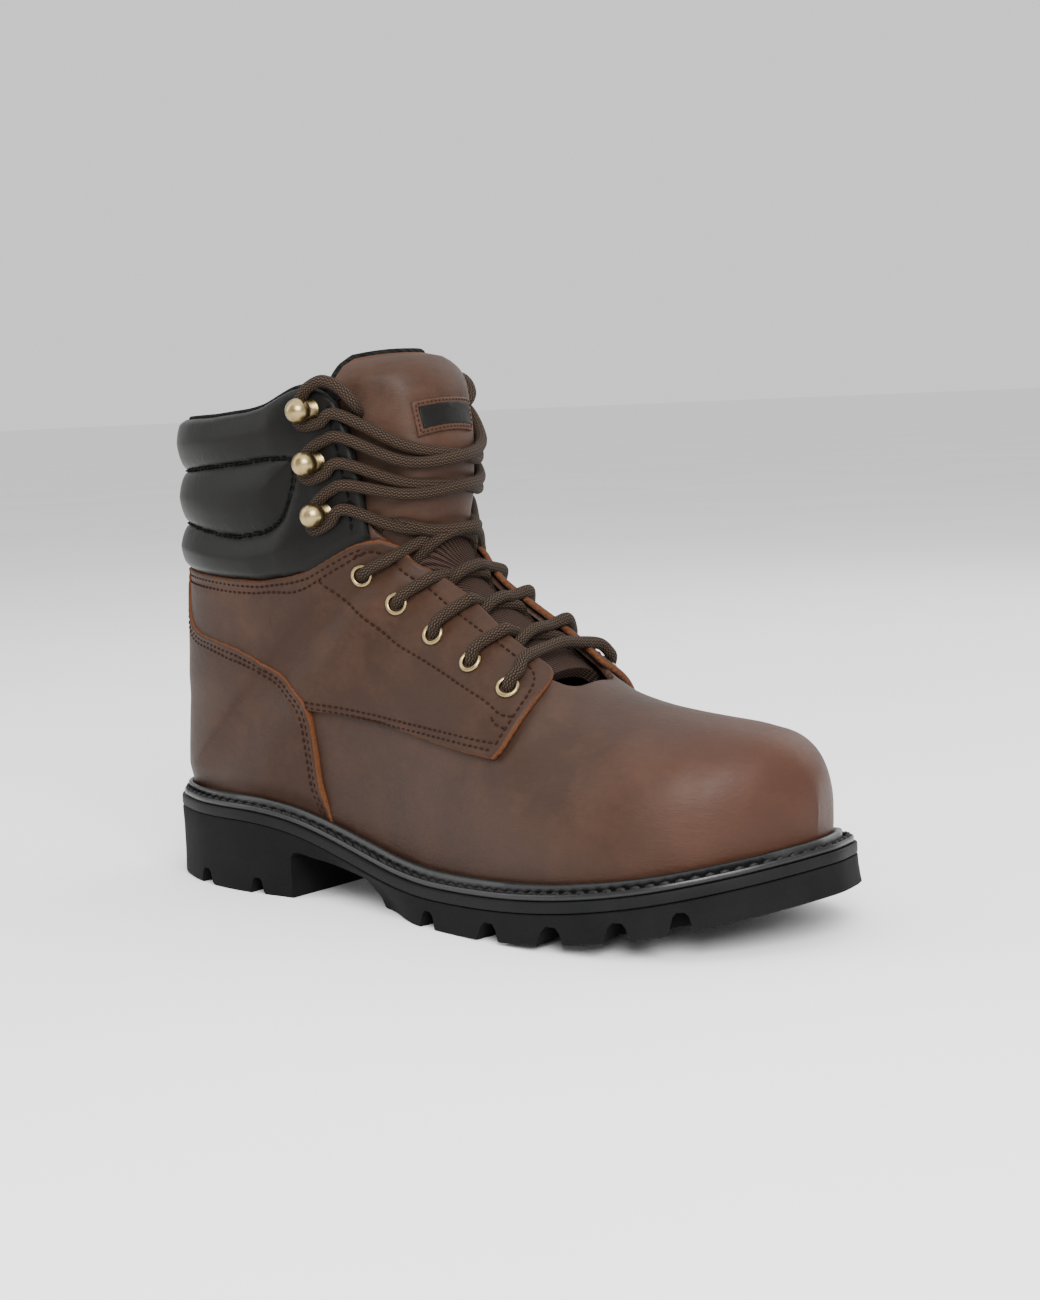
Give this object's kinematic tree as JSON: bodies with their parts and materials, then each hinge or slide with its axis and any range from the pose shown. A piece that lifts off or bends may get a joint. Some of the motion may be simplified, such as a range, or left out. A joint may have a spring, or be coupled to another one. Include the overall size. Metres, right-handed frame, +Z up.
{
  "type": "work boot",
  "caption": "Ankle-high lace-up work boot for the right foot, with a round safety toe, padded collar, ball hooks and a lugged rubber sole.",
  "frame": {"origin": "middle of the boot's length and width, on the floor under its sole", "axes": "+X from heel to toe, +Y towards the medial side, +Z up"},
  "size_m": [0.3134, 0.1172, 0.2111],
  "materials": {
    "outsole": "matt black moulded rubber, dusty in the recesses",
    "midsole": "black rubber, slightly satin",
    "welt": "black with a satin shine, stitched along a sunk channel",
    "insole": "dark matt cloth",
    "upper": "oiled brown leather, waxy, with scuffs and a reddish toe; dark cloth lining",
    "quarter": "oiled brown leather with raw rust-coloured edges",
    "heel_counter": "oiled brown leather with raw rust-coloured edges",
    "collar": "smooth soft black leather over padding, quilted",
    "tongue": "oiled brown leather, black knitted rim at the top",
    "tongue_patch": "brown leather frame around a plain dark inset",
    "eyelet": "antique brass, worn",
    "hook": "antique brass, worn",
    "lace": "round dark brown braid"
  },
  "bodies": {
    "root": {"outsole": "outsole", "midsole": "midsole", "welt": "welt", "insole": "insole", "upper": "upper", "quarter_lateral": "quarter", "quarter_medial": "quarter", "heel_counter": "heel_counter", "collar": "collar", "tongue": "tongue", "tongue_patch": "tongue_patch", "eyelet_lateral_1": "eyelet", "eyelet_lateral_2": "eyelet", "eyelet_lateral_3": "eyelet", "eyelet_lateral_4": "eyelet", "eyelet_lateral_5": "eyelet", "eyelet_medial_1": "eyelet", "eyelet_medial_2": "eyelet", "eyelet_medial_3": "eyelet", "eyelet_medial_4": "eyelet", "eyelet_medial_5": "eyelet", "hook_lateral_1": "hook", "hook_lateral_2": "hook", "hook_lateral_3": "hook", "hook_medial_1": "hook", "hook_medial_2": "hook", "hook_medial_3": "hook", "lace": "lace"}
  },
  "joints": []
}
